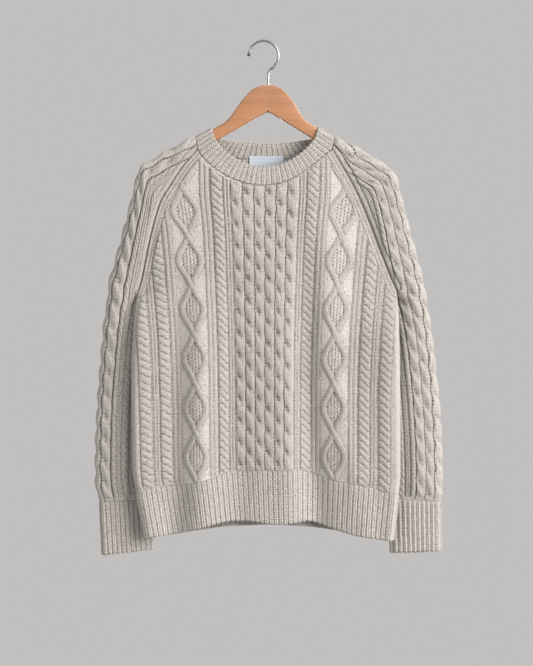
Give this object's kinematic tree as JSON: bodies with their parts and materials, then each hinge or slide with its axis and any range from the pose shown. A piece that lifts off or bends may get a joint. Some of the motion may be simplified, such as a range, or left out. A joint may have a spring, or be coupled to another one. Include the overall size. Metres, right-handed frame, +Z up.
{
  "type": "cable knit sweater on a wooden clothes hanger",
  "caption": "Long-sleeved cable knit crew-neck sweater with raglan sleeves and ribbed trims, hung flat on a wooden clothes hanger with a steel hook.",
  "frame": {"origin": "inside top of the hook, at the middle of the wire, where it rests on what holds it up", "axes": "+Z up, the front of the sweater faces -Y, +X to the right of someone who looks at the front"},
  "size_m": [0.5596, 0.07, 0.8288],
  "materials": {
    "sweater_front": "soft undyed wool, aran cable knit",
    "sweater_back": "soft undyed wool, aran cable knit",
    "hem_front": "soft undyed wool, one by one rib",
    "hem_back": "soft undyed wool, one by one rib",
    "sleeve_left": "soft undyed wool, aran cable knit",
    "sleeve_right": "soft undyed wool, aran cable knit",
    "cuff_left": "soft undyed wool, one by one rib",
    "cuff_right": "soft undyed wool, one by one rib",
    "neckband": "soft undyed wool, one by one rib",
    "neck_label": "woven satin label, bare",
    "hanger_wood": "sanded light beech, thin clear lacquer",
    "hanger_hook": "bright drawn steel wire"
  },
  "bodies": {
    "root": {"sweater_front": "sweater_front", "sweater_back": "sweater_back", "hem_front": "hem_front", "hem_back": "hem_back", "sleeve_left": "sleeve_left", "sleeve_right": "sleeve_right", "cuff_left": "cuff_left", "cuff_right": "cuff_right", "neckband": "neckband", "neck_label": "neck_label", "hanger_wood": "hanger_wood", "hanger_hook": "hanger_hook"}
  },
  "joints": []
}
